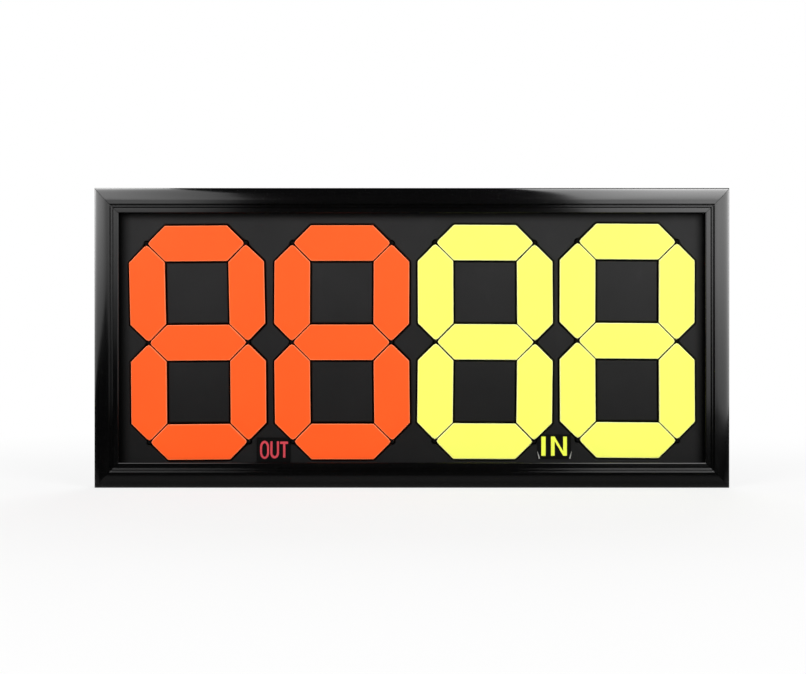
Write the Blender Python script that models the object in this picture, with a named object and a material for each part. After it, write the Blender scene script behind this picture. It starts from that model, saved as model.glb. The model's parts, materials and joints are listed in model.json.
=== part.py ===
"""Substitution board: four hand-set digits, each of seven turning vanes, in a moulded frame.

The board is modelled lying on its back. X runs along it, Y up it and Z out of its face, from
the plane of its back. An empty then stands it up, with its face towards -Y.
All sizes are in millimetres and are turned to metres where a mesh is made.
"""

import math

import bmesh
import bpy
from mathutils import Matrix, Vector

MM = 0.001
ROOT_TWO = math.sqrt(2.0)

# Vanes: hexagonal plates that turn about their long axis, coloured on one face and black behind
VANE_WIDTH = 35.4
VANE_THICKNESS = 3.0
VANE_EDGE_CHAMFER = 0.6
VANE_TIP_RADIUS = 3.6
TIP_STEPS = 4
MITRE_GAP = 1.3
PIN_RADIUS = 0.7
PIN_ENGAGEMENT = 0.9
PIN_SIDES = 8

# Digits: six pivot points each, in three rows and two columns
DIGITS = ("out_tens", "out_units", "in_tens", "in_units")
NODE_PITCH = 99.0
DIGIT_GAP = 8.4
ROWS = ("top", "middle", "bottom")
COLUMNS = ("left", "right")

# Hand-fitted pivots sit a little off the grid: each row sideways, each column up or down,
# in the order of ROWS and of COLUMNS
ROW_SHIFTS = {
    "out_tens": (-2.2, 0.0, 0.8),
    "out_units": (0.6, 0.1, 1.2),
    "in_tens": (0.3, 0.9, -0.3),
    "in_units": (-0.5, -0.8, -0.2),
}
COLUMN_SHIFTS = {
    "out_tens": (-1.2, -0.4),
    "out_units": (-0.4, -0.4),
    "in_tens": (0.2, -0.3),
    "in_units": (1.4, 0.7),
}

# Each vane runs between two pivots, given as (row, column)
VANES = {
    "top": (("top", "left"), ("top", "right")),
    "upper_left": (("top", "left"), ("middle", "left")),
    "upper_right": (("top", "right"), ("middle", "right")),
    "middle": (("middle", "left"), ("middle", "right")),
    "lower_left": (("middle", "left"), ("bottom", "left")),
    "lower_right": (("middle", "right"), ("bottom", "right")),
    "bottom": (("bottom", "left"), ("bottom", "right")),
}

# The vanes round each loop of a digit, in order, and the rows of pivots at its corners
LOOPS = {
    "upper": (("top", "upper_right", "middle", "upper_left"), ("top", "middle")),
    "lower": (("middle", "lower_right", "bottom", "lower_left"), ("middle", "bottom")),
}

# Clear fascia that shows between the moulding's lip and the nearest vanes
MARGIN_LEFT = 11.2
MARGIN_RIGHT = 9.0
MARGIN_TOP = 11.3
MARGIN_BOTTOM = 3.3

# Moulding, from the outer edge inwards
BAND_WIDTH = 17.2
OUTER_GROOVE_WIDTH = 1.6
BEAD_WIDTH = 1.3
INNER_GROOVE_WIDTH = 1.0
LIP_WIDTH = 4.9
SIDE_WALL_HEIGHT = 22.0
ARCH_RISE = 12.0
ARCH_STEPS = 8
GROOVE_DEPTH = 1.8
BEAD_DROP = 0.3
LIP_DROP = 0.6
LIP_FALL = 0.1
REBATE_INSET = 10.0
MITRE_SEAM = 0.3

# Panels between the front lip and the back
BACK_RECESS = 2.5
BACK_PANEL_THICKNESS = 3.0
FASCIA_THICKNESS = 3.0
WELL_DEPTH = 17.0
AXIS_ABOVE_FASCIA = 1.0

# Clearances
FIT_GAP = 0.3
VANE_CLEARANCE = 1.5
NECK_CLEARANCE = 0.37
PIN_CLEARANCE = 0.3

# Bearing posts
POST_RADIUS = 6.0
POST_TOP_ABOVE_AXIS = 1.5
POST_SIDES = 8
NODE_RELIEF_CLEARANCE = 0.45
RELIEF_SIDES = 12

# Digit carriers: a base plate with the posts, and a hollow island inside each loop
BASE_THICKNESS = 1.6
BASE_MARGIN = 1.0
ISLAND_WALL = 2.0
ISLAND_TOP = 3.0
PEG_RADIUS = 2.5
PEG_SIDES = 10
PEG_PROUD = 0.2

# Spacers round the edge and dividers between the digits
SPACER_WIDTH = 8.0
DIVIDER_WIDTH = 4.4

# Corner keys slotted into the mitred ends of the rails
KEY_INSET = 2.5
KEY_WIDTH = 5.0
KEY_THICKNESS = 2.5
KEY_LEG = 30.0
KEY_HEIGHT = 11.0

# Back screws
SCREW_RADIUS = 1.5
SCREW_HEAD_RADIUS = 3.0
SCREW_HEAD_HEIGHT = 1.8
SCREW_LENGTH = 10.0
SCREW_SIDES = 10
SCREWS_PER_SPACER = 2
SCREW_END_MARGIN = 60.0

# Label plates on the fascia, in the gap after a digit: how far each stands to the right of the
# gap's middle, and how far its lower edge is above the moulding's lip
LABEL_WIDTH = 33.6
LABEL_HEIGHT = 24.4
LABEL_THICKNESS = 0.8
LABELS = {
    "label_out": {"after": "out_tens", "aside": 3.5, "above_lip": 0.4},
    "label_in": {"after": "in_tens", "aside": -1.8, "above_lip": 3.4},
}

# Overrun of a cutter past the piece that it cuts
CUT_OVERRUN = 2.0

# Sizes worked out from the values above
DIGIT_COUNT = len(DIGITS)
DIGIT_PITCH = NODE_PITCH + VANE_WIDTH + DIGIT_GAP
MOULDING_WIDTH = BAND_WIDTH + OUTER_GROOVE_WIDTH + BEAD_WIDTH + INNER_GROOVE_WIDTH + LIP_WIDTH
FIELD_LENGTH = DIGIT_PITCH * DIGIT_COUNT - DIGIT_GAP
FIELD_HEIGHT = NODE_PITCH * (len(ROWS) - 1) + VANE_WIDTH
BOARD_LENGTH = 2 * MOULDING_WIDTH + MARGIN_LEFT + FIELD_LENGTH + MARGIN_RIGHT
BOARD_HEIGHT = 2 * MOULDING_WIDTH + MARGIN_BOTTOM + FIELD_HEIGHT + MARGIN_TOP
BOARD_DEPTH = SIDE_WALL_HEIGHT + ARCH_RISE
FIELD_CENTRE_X = (MARGIN_LEFT - MARGIN_RIGHT) / 2
FIELD_CENTRE_Y = MOULDING_WIDTH + MARGIN_BOTTOM + FIELD_HEIGHT / 2

BACK_PANEL_TOP = BACK_RECESS + BACK_PANEL_THICKNESS
FASCIA_BOTTOM = BACK_PANEL_TOP + WELL_DEPTH
FASCIA_TOP = FASCIA_BOTTOM + FASCIA_THICKNESS
LIP_BACK = FASCIA_TOP + FIT_GAP
AXIS_HEIGHT = FASCIA_TOP + AXIS_ABOVE_FASCIA
INNER_LOW = BACK_PANEL_TOP + FIT_GAP
INNER_HIGH = FASCIA_BOTTOM - FIT_GAP
PANEL_INSET = REBATE_INSET + FIT_GAP

TIP_SETBACK = MITRE_GAP / ROOT_TWO
TIP_STANDOFF = TIP_SETBACK + VANE_TIP_RADIUS * (ROOT_TWO - 1)
POST_NECK_RADIUS = TIP_STANDOFF - NECK_CLEARANCE
POST_FLARE_DEPTH = POST_NECK_RADIUS - TIP_SETBACK + VANE_CLEARANCE * ROOT_TWO
PIN_END = POST_NECK_RADIUS - PIN_ENGAGEMENT
SOCKET_END = PIN_END - FIT_GAP
SOCKET_RADIUS = PIN_RADIUS + PIN_CLEARANCE
POST_RADIUS_IN_FASCIA = POST_NECK_RADIUS + AXIS_HEIGHT - POST_FLARE_DEPTH - FASCIA_BOTTOM
NODE_RELIEF_RADIUS = POST_RADIUS_IN_FASCIA + NODE_RELIEF_CLEARANCE
SCREW_HOLE_RADIUS = SCREW_RADIUS + FIT_GAP
SCREW_HEAD_UNDERSIDE = BACK_RECESS - FIT_GAP
SCREW_TIP = SCREW_HEAD_UNDERSIDE + SCREW_LENGTH
BASE_TOP = INNER_LOW + BASE_THICKNESS
PEG_END = BACK_RECESS + PEG_PROUD

# Colour, roughness and metallic value of each finish
FINISHES = {
    "moulding_black": ((0.012, 0.012, 0.013), 0.22, 0.0),
    "panel_charcoal": ((0.030, 0.030, 0.032), 0.62, 0.0),
    "inner_black": ((0.020, 0.020, 0.021), 0.55, 0.0),
    "vane_orange": ((1.0, 0.13, 0.012), 0.45, 0.0),
    "vane_yellow": ((0.97, 1.0, 0.16), 0.45, 0.0),
    "label_black": ((0.008, 0.008, 0.008), 0.4, 0.0),
    "screw_steel": ((0.55, 0.56, 0.58), 0.35, 1.0),
}


def clear_scene():
    for old in list(bpy.data.objects):
        bpy.data.objects.remove(old)


def make_material(name):
    colour, roughness, metallic = FINISHES[name]
    material = bpy.data.materials.new(name)
    material.use_nodes = True
    shader = material.node_tree.nodes["Principled BSDF"]
    shader.inputs["Base Color"].default_value = (*colour, 1.0)
    shader.inputs["Roughness"].default_value = roughness
    shader.inputs["Metallic"].default_value = metallic
    return material


def make_stand():
    """The empty that stands the board up, its face to -Y and its middle over the origin."""
    stand = bpy.data.objects.new("stand", None)
    stand.rotation_euler = (math.pi / 2, 0.0, 0.0)
    stand.location = (0.0, BOARD_DEPTH / 2 * MM, 0.0)
    bpy.context.scene.collection.objects.link(stand)
    return stand


def mesh_from(bm, name):
    """Turn a bmesh in millimetres into a mesh in metres with its faces outwards."""
    bmesh.ops.recalc_face_normals(bm, faces=bm.faces)
    bmesh.ops.scale(bm, verts=bm.verts, vec=(MM, MM, MM))
    mesh = bpy.data.meshes.new(name)
    bm.to_mesh(mesh)
    bm.free()
    return mesh


def add_object(name, mesh, matrix=None):
    """Put a mesh in the scene; the matrix places it on the lying board, in millimetres."""
    obj = bpy.data.objects.new(name, mesh)
    if matrix is not None:
        obj.matrix_basis = metres(matrix)
    bpy.context.scene.collection.objects.link(obj)
    return obj


def metres(matrix):
    """The same placing with its translation in metres."""
    scaled = matrix.copy()
    scaled.translation = matrix.translation * MM
    return scaled


def finish_part(obj, material, stand, smooth=False):
    """Give a part its finish and carry it on the stand."""
    obj.data.materials.clear()
    obj.data.materials.append(material)
    if smooth:
        obj.data.shade_smooth()
        obj.data.set_sharp_from_angle(angle=math.radians(40))
    obj.parent = stand


def prism(bm, outline, low, high):
    """Add a straight solid over a flat outline."""
    corners = [bm.verts.new((x, y, low)) for x, y in outline]
    base = bm.faces.new(corners)
    grown = bmesh.ops.extrude_face_region(bm, geom=[base])
    top = [item for item in grown["geom"] if isinstance(item, bmesh.types.BMVert)]
    bmesh.ops.translate(bm, verts=top, vec=(0.0, 0.0, high - low))


def turned(bm, profile, sides, matrix=Matrix.Identity(4)):
    """Add a solid of revolution about Z from (radius, height) points, placed by the matrix."""
    before = set(bm.verts)
    points = [bm.verts.new((radius, 0.0, height)) for radius, height in profile]
    edges = [bm.edges.new(pair) for pair in zip(points, points[1:])]
    bmesh.ops.spin(bm, geom=points + edges, axis=(0, 0, 1), cent=(0, 0, 0),
                   angle=2 * math.pi, steps=sides, use_merge=True)
    added = [vert for vert in bm.verts if vert not in before]
    bmesh.ops.remove_doubles(bm, verts=added, dist=0.0001)
    body = [vert for vert in bm.verts if vert not in before]
    bmesh.ops.transform(bm, matrix=matrix, verts=body)


def cylinder_profile(radius, low, high):
    return ((0.0, low), (radius, low), (radius, high), (0.0, high))


def rectangle(left, bottom, right, top):
    return ((left, bottom), (right, bottom), (right, top), (left, top))


def prism_tool(outline, low, high, matrix=None):
    bm = bmesh.new()
    prism(bm, outline, low, high)
    return add_object("tool", mesh_from(bm, "tool"), matrix)


def round_tool(radius, low, high, matrix=None, sides=SCREW_SIDES):
    bm = bmesh.new()
    turned(bm, cylinder_profile(radius, low, high), sides)
    return add_object("tool", mesh_from(bm, "tool"), matrix)


def shape_with(obj, operation, tools):
    """Cut or join an object with all the tools at once, keep the result and drop the tools."""
    group = bpy.data.collections.new("tools")
    for tool in tools:
        group.objects.link(tool)
    modifier = obj.modifiers.new("shape", "BOOLEAN")
    modifier.operation = operation
    modifier.solver = "EXACT"
    modifier.operand_type = "COLLECTION"
    modifier.collection = group
    depsgraph = bpy.context.evaluated_depsgraph_get()
    shaped = bpy.data.meshes.new_from_object(obj.evaluated_get(depsgraph))
    obj.modifiers.clear()
    obj.data = shaped
    for tool in tools:
        bpy.data.objects.remove(tool)
    bpy.data.collections.remove(group)


def digit_centre(digit):
    index = DIGITS.index(digit)
    return FIELD_CENTRE_X + (index - (DIGIT_COUNT - 1) / 2) * DIGIT_PITCH


def row_y(row):
    return FIELD_CENTRE_Y + (1 - ROWS.index(row)) * NODE_PITCH


def node_point(digit, row, column):
    """A pivot point of a digit, in the plane of the vane axes."""
    side = COLUMNS.index(column)
    x = digit_centre(digit) + (side - 0.5) * NODE_PITCH + ROW_SHIFTS[digit][ROWS.index(row)]
    y = row_y(row) + COLUMN_SHIFTS[digit][side]
    return Vector((x, y, AXIS_HEIGHT))


def vane_matrix(digit, vane):
    """Places a vane's own frame, long axis along X, between its two pivots."""
    first, last = (node_point(digit, *node) for node in VANES[vane])
    run = last - first
    turn = Matrix.Rotation(math.atan2(run.y, run.x), 4, "Z")
    return Matrix.Translation((first + last) / 2) @ turn


def flat_vane_matrix(digit, vane):
    """The same place in plan, for cutters whose heights are measured from the back."""
    matrix = vane_matrix(digit, vane)
    matrix.translation.z = 0.0
    return matrix


def vane_outline(grow=0.0, tip_radius=0.0, steps=0):
    """Hexagon with 45 degree ends, grown evenly, its two tips rounded if a radius is given."""
    half_width = VANE_WIDTH / 2 + grow
    half_length = NODE_PITCH / 2 - TIP_SETBACK + grow * ROOT_TWO
    shoulder = half_length - half_width
    right_tip = [(half_length, 0.0)]
    if tip_radius > 0.0:
        centre = half_length - tip_radius * ROOT_TWO
        angles = [math.radians(-45 + 90 * step / steps) for step in range(steps + 1)]
        right_tip = [(centre + tip_radius * math.cos(angle), tip_radius * math.sin(angle))
                     for angle in angles]
    right = [(shoulder, -half_width), *right_tip, (shoulder, half_width)]
    left = [(-x, -y) for x, y in right]
    return right + left


def build_vane_mesh():
    """One vane with its two pivot pins, centred on its own axis."""
    bm = bmesh.new()
    outline = vane_outline(tip_radius=VANE_TIP_RADIUS, steps=TIP_STEPS)
    half = VANE_THICKNESS / 2
    prism(bm, outline, -half, half)
    rim = [edge for edge in bm.edges if abs(edge.verts[0].co.z - edge.verts[1].co.z) < half]
    bmesh.ops.bevel(bm, geom=rim, offset=VANE_EDGE_CHAMFER, offset_type="OFFSET", segments=1,
                    affect="EDGES", profile=0.5, material=-1)
    plate = add_object("vane_plate", mesh_from(bm, "vane_plate"))
    reach = NODE_PITCH / 2 - PIN_END
    lay_along_x = Matrix.Rotation(math.pi / 2, 4, "Y")
    pins = round_tool(PIN_RADIUS, -reach, reach, lay_along_x, PIN_SIDES)
    shape_with(plate, "UNION", [pins])
    mesh = plate.data
    bpy.data.objects.remove(plate)
    return mesh


def build_vanes(stand, materials):
    mesh = build_vane_mesh()
    coloured = {"out": mesh, "in": mesh.copy()}
    finishes = {"out": materials["vane_orange"], "in": materials["vane_yellow"]}
    for digit in DIGITS:
        side = digit.split("_")[0]
        for vane in VANES:
            obj = add_object(f"vane_{digit}_{vane}", coloured[side], vane_matrix(digit, vane))
            finish_part(obj, finishes[side], stand, smooth=True)


def post_profile():
    """Half section of a bearing post, with a slim neck where the vane tips turn past it."""
    flare_end = AXIS_HEIGHT - POST_FLARE_DEPTH - (POST_RADIUS - POST_NECK_RADIUS)
    top = AXIS_HEIGHT + POST_TOP_ABOVE_AXIS
    return (
        (0.0, top),
        (POST_NECK_RADIUS, top),
        (POST_NECK_RADIUS, AXIS_HEIGHT - POST_FLARE_DEPTH),
        (POST_RADIUS, flare_end),
        (POST_RADIUS, INNER_LOW),
        (0.0, INNER_LOW),
    )


def side_line(digit, vane, towards, offset):
    """A line beside a vane, offset from its axis towards a point: one point and a direction."""
    first, last = (node_point(digit, *node) for node in VANES[vane])
    run = (last - first).normalized()
    normal = Vector((-run.y, run.x, 0.0))
    if normal.dot(towards - first) < 0:
        normal.negate()
    return first + normal * offset, run


def line_crossing(line_a, line_b):
    point_a, run_a = line_a
    point_b, run_b = line_b
    between = point_b - point_a
    reach = (between.x * run_b.y - between.y * run_b.x) / (run_a.x * run_b.y - run_a.y * run_b.x)
    return point_a + run_a * reach


def island_outline(digit, loop, shrink=0.0):
    """The four-sided island inside the upper or lower loop of a digit, clear of its vanes."""
    names, rows = LOOPS[loop]
    corners = [node_point(digit, row, column) for row in rows for column in COLUMNS]
    centre = sum(corners, Vector()) / len(corners)
    offset = VANE_WIDTH / 2 + VANE_CLEARANCE + shrink
    lines = [side_line(digit, name, centre, offset) for name in names]
    crossings = [line_crossing(lines[i - 1], lines[i]) for i in range(len(lines))]
    return [(point.x, point.y) for point in crossings]


def peg_places(digit):
    """Two pegs that locate a carrier on the back panel, under its top and bottom vanes."""
    return [(digit_centre(digit), row_y(row)) for row in (ROWS[0], ROWS[-1])]


def carrier_solids(digit):
    """What a carrier is joined from besides its base plate: posts, island blocks and pegs."""
    solids = []
    for row in ROWS:
        for column in COLUMNS:
            point = node_point(digit, row, column)
            bm = bmesh.new()
            turned(bm, post_profile(), POST_SIDES, Matrix.Translation((point.x, point.y, 0.0)))
            solids.append(add_object("tool", mesh_from(bm, "tool")))
    for loop in LOOPS:
        outline = island_outline(digit, loop)
        solids.append(prism_tool(outline, INNER_LOW + BASE_THICKNESS / 2, FASCIA_TOP))
    for x, y in peg_places(digit):
        place = Matrix.Translation((x, y, 0.0))
        solids.append(round_tool(PEG_RADIUS, PEG_END, INNER_LOW + BASE_THICKNESS / 2, place,
                                 PEG_SIDES))
    return solids


def carrier_hollows(digit):
    """What a carrier is cut by: the open backs of its islands and the sockets for the pins."""
    hollows = []
    for loop in LOOPS:
        outline = island_outline(digit, loop, shrink=ISLAND_WALL)
        hollows.append(prism_tool(outline, INNER_LOW - CUT_OVERRUN, FASCIA_TOP - ISLAND_TOP))
    reach = NODE_PITCH / 2 - SOCKET_END
    lay_along_x = Matrix.Rotation(math.pi / 2, 4, "Y")
    for vane in VANES:
        place = vane_matrix(digit, vane) @ lay_along_x
        hollows.append(round_tool(SOCKET_RADIUS, -reach, reach, place, PIN_SIDES))
    return hollows


def build_carrier(digit, stand, material):
    """The moulding that holds one digit: base plate, bearing posts and two hollow islands."""
    x = digit_centre(digit)
    half_width = (DIGIT_PITCH - DIVIDER_WIDTH) / 2 - FIT_GAP
    half_height = FIELD_HEIGHT / 2 + BASE_MARGIN
    outline = rectangle(x - half_width, FIELD_CENTRE_Y - half_height,
                        x + half_width, FIELD_CENTRE_Y + half_height)
    name = f"carrier_{digit}"
    bm = bmesh.new()
    prism(bm, outline, INNER_LOW, BASE_TOP)
    carrier = add_object(name, mesh_from(bm, name))
    shape_with(carrier, "UNION", carrier_solids(digit))
    shape_with(carrier, "DIFFERENCE", carrier_hollows(digit))
    finish_part(carrier, material, stand)


def pilot_tool(x, y):
    """Cutter for the blind hole that a back screw enters."""
    place = Matrix.Translation((x, y, 0.0))
    return round_tool(SCREW_HOLE_RADIUS, INNER_LOW - CUT_OVERRUN, SCREW_TIP + FIT_GAP, place)


def aperture_tools():
    """Cutters that open the fascia round the vanes, the post necks and the islands."""
    low = FASCIA_BOTTOM - CUT_OVERRUN
    high = AXIS_HEIGHT + CUT_OVERRUN
    tools = []
    for digit in DIGITS:
        for vane in VANES:
            place = flat_vane_matrix(digit, vane)
            tools.append(prism_tool(vane_outline(grow=VANE_CLEARANCE), low, high, place))
        for row in ROWS:
            for column in COLUMNS:
                point = node_point(digit, row, column)
                place = Matrix.Translation((point.x, point.y, 0.0))
                tools.append(round_tool(NODE_RELIEF_RADIUS, low, high, place, RELIEF_SIDES))
        for loop in LOOPS:
            outline = island_outline(digit, loop, shrink=-VANE_CLEARANCE)
            tools.append(prism_tool(outline, low, high))
    return tools


def panel_rectangle():
    half_length = BOARD_LENGTH / 2 - PANEL_INSET
    return rectangle(-half_length, PANEL_INSET, half_length, BOARD_HEIGHT - PANEL_INSET)


def build_fascia(stand, material):
    bm = bmesh.new()
    prism(bm, panel_rectangle(), FASCIA_BOTTOM, FASCIA_TOP)
    fascia = add_object("fascia_panel", mesh_from(bm, "fascia_panel"))
    shape_with(fascia, "DIFFERENCE", aperture_tools())
    finish_part(fascia, material, stand)


def gap_x(digit):
    """Middle of the gap to the right of a digit."""
    return digit_centre(digit) + DIGIT_PITCH / 2


def spread(count, low, high):
    """Evenly spaced places from one end to the other."""
    return [low + (high - low) * index / (count - 1) for index in range(count)]


def spacer_boxes():
    """Plan rectangle of each edge spacer and the screw places along its middle."""
    edge = PANEL_INSET
    inner = edge + SPACER_WIDTH
    middle = edge + SPACER_WIDTH / 2
    half_length = BOARD_LENGTH / 2
    long_xs = spread(SCREWS_PER_SPACER, edge + SCREW_END_MARGIN - half_length,
                     half_length - edge - SCREW_END_MARGIN)
    short_ys = spread(SCREWS_PER_SPACER, edge + SCREW_END_MARGIN,
                      BOARD_HEIGHT - edge - SCREW_END_MARGIN)
    side_low = inner + FIT_GAP
    side_high = BOARD_HEIGHT - side_low
    return {
        "spacer_bottom": (rectangle(edge - half_length, edge, half_length - edge, inner),
                          [(x, middle) for x in long_xs]),
        "spacer_top": (rectangle(edge - half_length, BOARD_HEIGHT - inner,
                                 half_length - edge, BOARD_HEIGHT - edge),
                       [(x, BOARD_HEIGHT - middle) for x in long_xs]),
        "spacer_left": (rectangle(edge - half_length, side_low, inner - half_length, side_high),
                        [(middle - half_length, y) for y in short_ys]),
        "spacer_right": (rectangle(half_length - inner, side_low, half_length - edge, side_high),
                         [(half_length - middle, y) for y in short_ys]),
    }


def build_spacers(stand, material):
    for name, (outline, screws) in spacer_boxes().items():
        bm = bmesh.new()
        prism(bm, outline, INNER_LOW, INNER_HIGH)
        spacer = add_object(name, mesh_from(bm, name))
        shape_with(spacer, "DIFFERENCE", [pilot_tool(x, y) for x, y in screws])
        finish_part(spacer, material, stand)


def build_divider(index, stand, material):
    """A rib behind the narrow bar of fascia between two digits."""
    x = gap_x(DIGITS[index])
    low_end = PANEL_INSET + SPACER_WIDTH + FIT_GAP
    half = DIVIDER_WIDTH / 2
    name = f"divider_{index + 1}"
    bm = bmesh.new()
    prism(bm, rectangle(x - half, low_end, x + half, BOARD_HEIGHT - low_end),
          INNER_LOW, INNER_HIGH)
    divider = add_object(name, mesh_from(bm, name))
    finish_part(divider, material, stand)


def back_screw_places():
    """Every place where a screw holds the back panel."""
    return [place for _, screws in spacer_boxes().values() for place in screws]


def through_back(radius, x, y, sides):
    """Cutter for a hole right through the back panel."""
    place = Matrix.Translation((x, y, 0.0))
    return round_tool(radius, BACK_RECESS - CUT_OVERRUN, BACK_PANEL_TOP + CUT_OVERRUN, place,
                      sides)


def build_back_panel(stand, material):
    bm = bmesh.new()
    prism(bm, panel_rectangle(), BACK_RECESS, BACK_PANEL_TOP)
    panel = add_object("back_panel", mesh_from(bm, "back_panel"))
    holes = [through_back(SCREW_HOLE_RADIUS, x, y, SCREW_SIDES) for x, y in back_screw_places()]
    for digit in DIGITS:
        holes += [through_back(PEG_RADIUS + FIT_GAP, x, y, PEG_SIDES)
                  for x, y in peg_places(digit)]
    shape_with(panel, "DIFFERENCE", holes)
    finish_part(panel, material, stand)


def screw_profile(length):
    """Pan head below zero and a shank above it."""
    return (
        (0.0, -SCREW_HEAD_HEIGHT),
        (SCREW_HEAD_RADIUS, -SCREW_HEAD_HEIGHT),
        (SCREW_HEAD_RADIUS, 0.0),
        (SCREW_RADIUS, 0.0),
        (SCREW_RADIUS, length),
        (0.0, length),
    )


def build_back_screws(stand, material):
    bm = bmesh.new()
    turned(bm, screw_profile(SCREW_LENGTH), SCREW_SIDES)
    mesh = mesh_from(bm, "back_screw")
    for index, (x, y) in enumerate(back_screw_places()):
        place = Matrix.Translation((x, y, SCREW_HEAD_UNDERSIDE))
        screw = add_object(f"back_screw_{index + 1}", mesh, place)
        finish_part(screw, material, stand, smooth=True)


def moulding_profile():
    """Half section of the frame as (inset from the outer edge, height above the back)."""
    arch = []
    for step in range(ARCH_STEPS + 1):
        angle = math.radians(90 * step / ARCH_STEPS)
        arch.append((BAND_WIDTH * (1 - math.cos(angle)),
                     SIDE_WALL_HEIGHT + ARCH_RISE * math.sin(angle)))
    bead_start = BAND_WIDTH + OUTER_GROOVE_WIDTH
    bead_end = bead_start + BEAD_WIDTH
    lip_start = bead_end + INNER_GROOVE_WIDTH
    groove_floor = BOARD_DEPTH - GROOVE_DEPTH
    bead_top = BOARD_DEPTH - BEAD_DROP
    lip_top = BOARD_DEPTH - LIP_DROP
    return [
        (0.0, 0.0),
        *arch,
        (BAND_WIDTH, groove_floor),
        (bead_start, groove_floor),
        (bead_start, bead_top),
        (bead_end, bead_top),
        (bead_end, groove_floor),
        (lip_start, groove_floor),
        (lip_start, lip_top),
        (MOULDING_WIDTH, lip_top - LIP_FALL),
        (MOULDING_WIDTH, LIP_BACK),
        (REBATE_INSET, LIP_BACK),
        (REBATE_INSET, 0.0),
    ]


def key_slot_tool(length, end):
    """Cutter for the slot that a corner key enters at one end of a rail."""
    low = KEY_INSET - FIT_GAP
    high = KEY_INSET + KEY_WIDTH + FIT_GAP
    mouth = end * (length / 2 + CUT_OVERRUN)
    depth = end * (length / 2 - KEY_INSET - KEY_LEG - FIT_GAP)
    half = KEY_THICKNESS / 2 + FIT_GAP
    outline = rectangle(min(mouth, depth), low, max(mouth, depth), high)
    return prism_tool(outline, KEY_HEIGHT - half, KEY_HEIGHT + half)


def build_rail_mesh(length):
    """A mitred rail lying along X, its outer edge on Y = 0, with a key slot in each end."""
    seam = MITRE_SEAM / ROOT_TWO
    bm = bmesh.new()
    ring = [bm.verts.new((inset + seam - length / 2, inset, height))
            for inset, height in moulding_profile()]
    end_face = bm.faces.new(ring)
    grown = bmesh.ops.extrude_face_region(bm, geom=[end_face])
    for item in grown["geom"]:
        if isinstance(item, bmesh.types.BMVert):
            item.co.x = -item.co.x
    rail = add_object("rail", mesh_from(bm, "rail"))
    shape_with(rail, "DIFFERENCE", [key_slot_tool(length, end) for end in (-1, 1)])
    mesh = rail.data
    bpy.data.objects.remove(rail)
    return mesh


def rail_places():
    """Length and placing of each rail."""
    half_length = BOARD_LENGTH / 2
    half_height = BOARD_HEIGHT / 2
    return {
        "bottom": (BOARD_LENGTH, Matrix.Identity(4)),
        "top": (BOARD_LENGTH, Matrix.Translation((0.0, BOARD_HEIGHT, 0.0))
                @ Matrix.Rotation(math.pi, 4, "Z")),
        "left": (BOARD_HEIGHT, Matrix.Translation((-half_length, half_height, 0.0))
                 @ Matrix.Rotation(-math.pi / 2, 4, "Z")),
        "right": (BOARD_HEIGHT, Matrix.Translation((half_length, half_height, 0.0))
                  @ Matrix.Rotation(math.pi / 2, 4, "Z")),
    }


def build_rails(stand, material):
    meshes = {length: build_rail_mesh(length) for length in (BOARD_LENGTH, BOARD_HEIGHT)}
    for side, (length, place) in rail_places().items():
        rail = add_object(f"rail_{side}", meshes[length], place)
        finish_part(rail, material, stand, smooth=True)


def corner_places():
    """Placing of each corner's own frame: the corner at the origin, legs along +X and +Y."""
    half_length = BOARD_LENGTH / 2
    corners = (("bottom_left", -half_length, 0.0), ("bottom_right", half_length, 0.0),
               ("top_right", half_length, BOARD_HEIGHT), ("top_left", -half_length, BOARD_HEIGHT))
    return {name: Matrix.Translation((x, y, 0.0)) @ Matrix.Rotation(turns * math.pi / 2, 4, "Z")
            for turns, (name, x, y) in enumerate(corners)}


def build_corner_keys(stand, material):
    """The four L-shaped keys that hold the mitres together."""
    outer = KEY_INSET
    inner = outer + KEY_WIDTH
    end = outer + KEY_LEG
    outline = ((outer, outer), (end, outer), (end, inner), (inner, inner), (inner, end),
               (outer, end))
    bm = bmesh.new()
    prism(bm, outline, KEY_HEIGHT - KEY_THICKNESS / 2, KEY_HEIGHT + KEY_THICKNESS / 2)
    mesh = mesh_from(bm, "corner_key")
    for corner, place in corner_places().items():
        key = add_object(f"corner_key_{corner}", mesh, place)
        finish_part(key, material, stand)


def build_labels(stand, material):
    """Thin plates on the fascia, trimmed back where the vanes turn past them."""
    low = FASCIA_TOP + FIT_GAP
    for name, label in LABELS.items():
        left = gap_x(label["after"]) + label["aside"] - LABEL_WIDTH / 2
        bottom = MOULDING_WIDTH + label["above_lip"]
        outline = rectangle(left, bottom, left + LABEL_WIDTH, bottom + LABEL_HEIGHT)
        bm = bmesh.new()
        prism(bm, outline, low, low + LABEL_THICKNESS)
        plate = add_object(name, mesh_from(bm, name))
        shape_with(plate, "DIFFERENCE", aperture_tools())
        finish_part(plate, material, stand)


def build_board():
    clear_scene()
    materials = {name: make_material(name) for name in FINISHES}
    stand = make_stand()
    build_rails(stand, materials["moulding_black"])
    build_corner_keys(stand, materials["screw_steel"])
    build_back_panel(stand, materials["inner_black"])
    build_back_screws(stand, materials["screw_steel"])
    build_spacers(stand, materials["inner_black"])
    for index in range(DIGIT_COUNT - 1):
        build_divider(index, stand, materials["inner_black"])
    build_fascia(stand, materials["panel_charcoal"])
    for digit in DIGITS:
        build_carrier(digit, stand, materials["panel_charcoal"])
    build_labels(stand, materials["label_black"])
    build_vanes(stand, materials)


build_board()
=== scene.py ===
# %% [markdown]
# # A substitution board
#
# This board is held up at the side of a pitch. Its left pair of digits is orange and says which
# player goes out, and its yellow pair says who comes in. Each digit is made of seven vanes that
# turn over by hand, coloured on one face and black on the other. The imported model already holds
# the sizes and the moving bodies, so this script builds only what the eye needs around it: round
# edges, printed words, real finishes, soft light and a camera.

# %% The frame and its size
import json
import math

import bmesh
import bpy
from mathutils import Matrix, Vector

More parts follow.
